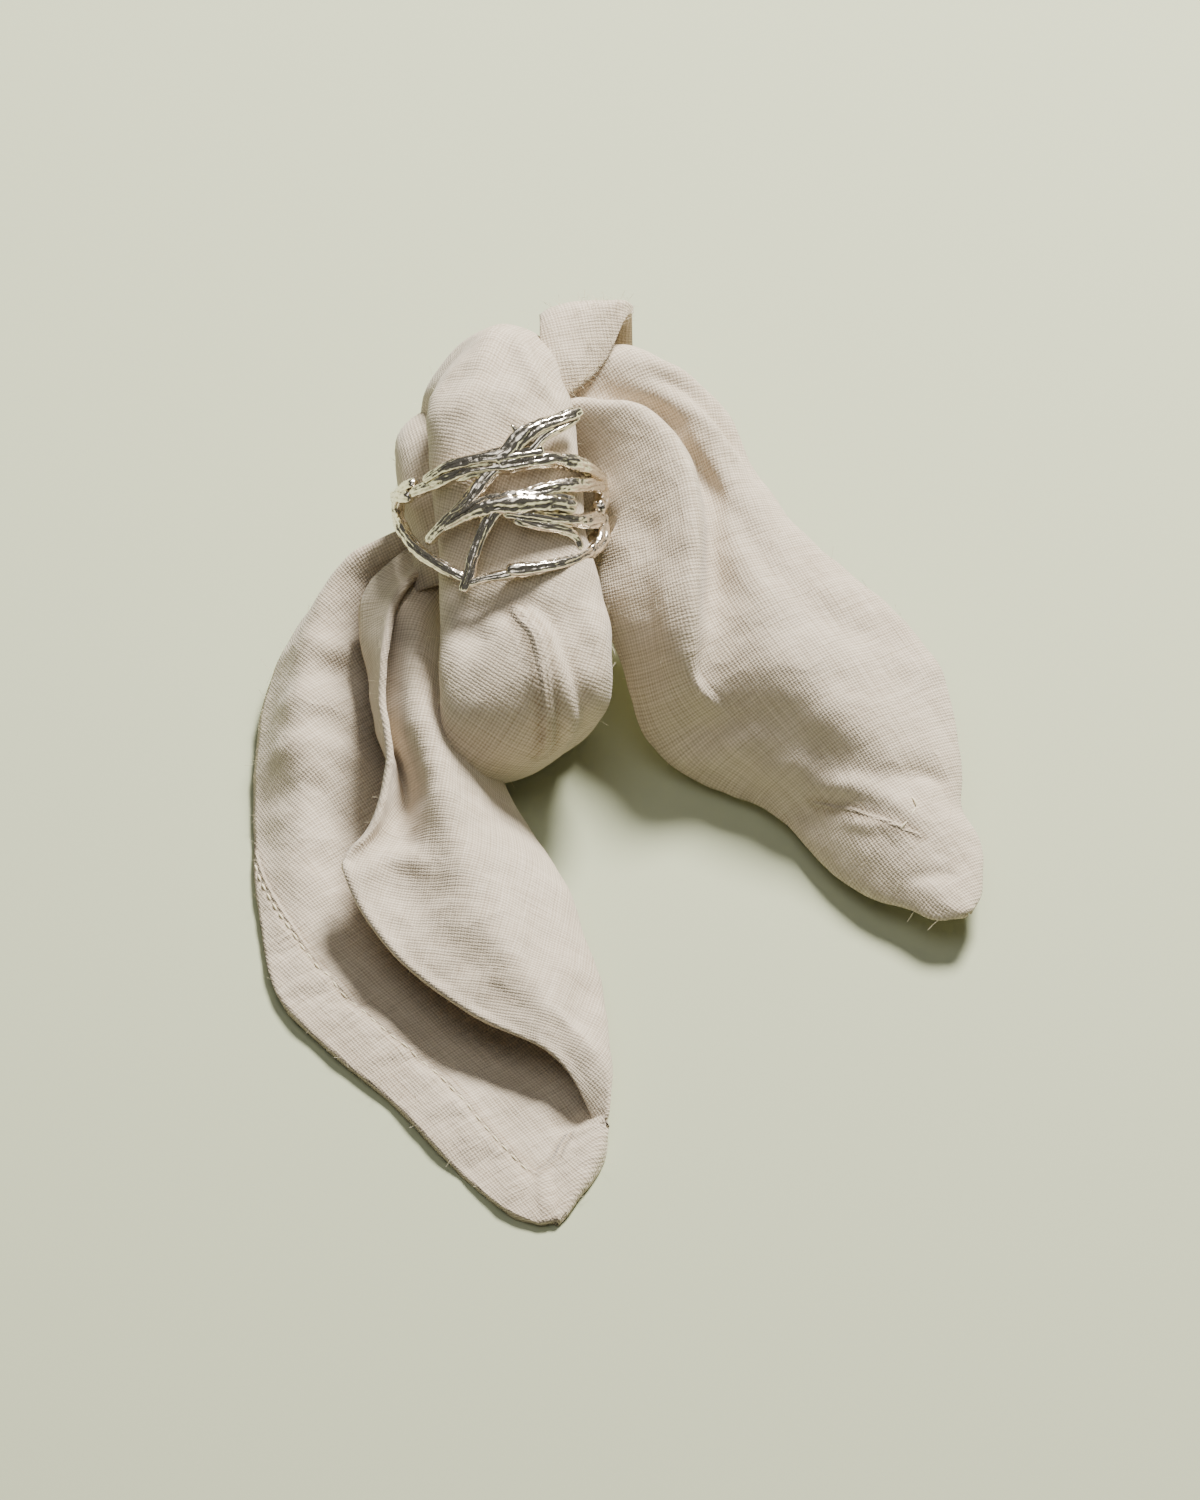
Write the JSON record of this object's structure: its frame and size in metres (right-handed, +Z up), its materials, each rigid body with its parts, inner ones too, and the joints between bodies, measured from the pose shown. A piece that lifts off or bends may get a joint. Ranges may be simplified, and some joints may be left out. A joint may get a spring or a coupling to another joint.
{
  "type": "napkin in a ring",
  "caption": "Linen napkin gathered and looped through a cast twig ring, its hemmed corners lying out as two tails.",
  "frame": {"origin": "on the table under the middle of the object", "axes": "+Z up, +Y towards the back of the knot, -Y the way the left tail points, +X towards the right tail"},
  "size_m": [0.1742, 0.233, 0.0736],
  "materials": {
    "linen": "matt plain weave, oatmeal",
    "cast_silver": "polished warm silver plate with bark ridges"
  },
  "bodies": {
    "root": {"napkin": "linen", "twig_ring": "cast_silver"}
  },
  "joints": []
}
